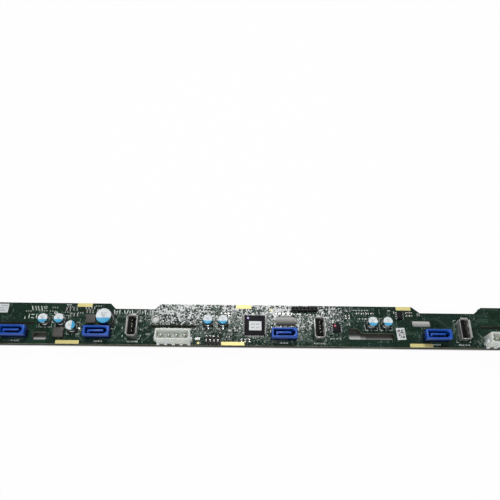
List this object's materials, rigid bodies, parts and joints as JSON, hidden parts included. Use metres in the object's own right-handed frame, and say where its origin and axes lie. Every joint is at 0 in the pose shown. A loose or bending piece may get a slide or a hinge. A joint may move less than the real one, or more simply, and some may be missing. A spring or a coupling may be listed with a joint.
{
  "type": "drive backplane board",
  "caption": "Long narrow circuit board for a row of hard drives, with drive receptacles on one face and data, power and service connectors on the other.",
  "frame": {"origin": "centre of the round mounting hole on the component face", "axes": "+X along the board's length, +Y across it towards the edge with the drive receptacles, +Z out of the component face"},
  "size_m": [0.425, 0.0287, 0.0226],
  "materials": {
    "pcb": "green solder mask over glass-epoxy laminate, glossy",
    "blue_nylon": "moulded, satin",
    "black_plastic": "moulded, matt",
    "natural_nylon": "moulded, milky satin",
    "mould_compound": "epoxy, fine matt",
    "gold_contact": "gold flash, bright",
    "tinned_brass": "tin plate, satin",
    "tinned_steel": "tin plate, bright",
    "can_aluminium": "drawn can, satin",
    "ferrite": "pressed powder, matt",
    "chip_ceramic": "fired, satin",
    "lamp_white": "clear lens over a white cup"
  },
  "bodies": {
    "root": {"board": "pcb", "data_header_1": "blue_nylon", "data_contacts_1": "gold_contact", "drive_receptacle_1": "black_plastic", "drive_contacts_1": "gold_contact", "data_header_2": "blue_nylon", "data_contacts_2": "gold_contact", "drive_receptacle_2": "black_plastic", "drive_contacts_2": "gold_contact", "data_header_3": "blue_nylon", "data_contacts_3": "gold_contact", "drive_receptacle_3": "black_plastic", "drive_contacts_3": "gold_contact", "data_header_4": "blue_nylon", "data_contacts_4": "gold_contact", "drive_receptacle_4": "black_plastic", "drive_contacts_4": "gold_contact", "port_shell_1": "tinned_steel", "port_insulator_1": "black_plastic", "port_contacts_1": "gold_contact", "port_shell_2": "tinned_steel", "port_insulator_2": "black_plastic", "port_contacts_2": "gold_contact", "port_shell_3": "tinned_steel", "port_insulator_3": "black_plastic", "port_contacts_3": "gold_contact", "power_header_1": "natural_nylon", "power_pins_1": "tinned_brass", "power_inductor_1": "ferrite", "power_header_2": "natural_nylon", "power_pins_2": "tinned_brass", "power_inductor_2": "ferrite", "capacitor_can_1": "can_aluminium", "capacitor_base_1": "black_plastic", "capacitor_can_2": "can_aluminium", "capacitor_base_2": "black_plastic", "capacitor_can_3": "can_aluminium", "capacitor_base_3": "black_plastic", "capacitor_can_4": "can_aluminium", "capacitor_base_4": "black_plastic", "capacitor_can_5": "can_aluminium", "capacitor_base_5": "black_plastic", "capacitor_can_6": "can_aluminium", "capacitor_base_6": "black_plastic", "capacitor_can_7": "can_aluminium", "capacitor_base_7": "black_plastic", "capacitor_can_8": "can_aluminium", "capacitor_base_8": "black_plastic", "controller_body": "mould_compound", "controller_leads": "tinned_steel", "memory_chip_body": "mould_compound", "memory_chip_leads": "tinned_steel", "driver_chip_body": "mould_compound", "driver_chip_leads": "tinned_steel", "jumper_header": "black_plastic", "jumper_pins": "tinned_brass", "socket_header": "black_plastic", "socket_pins": "gold_contact", "status_lamp": "lamp_white", "chip_parts": "chip_ceramic"}
  },
  "joints": []
}
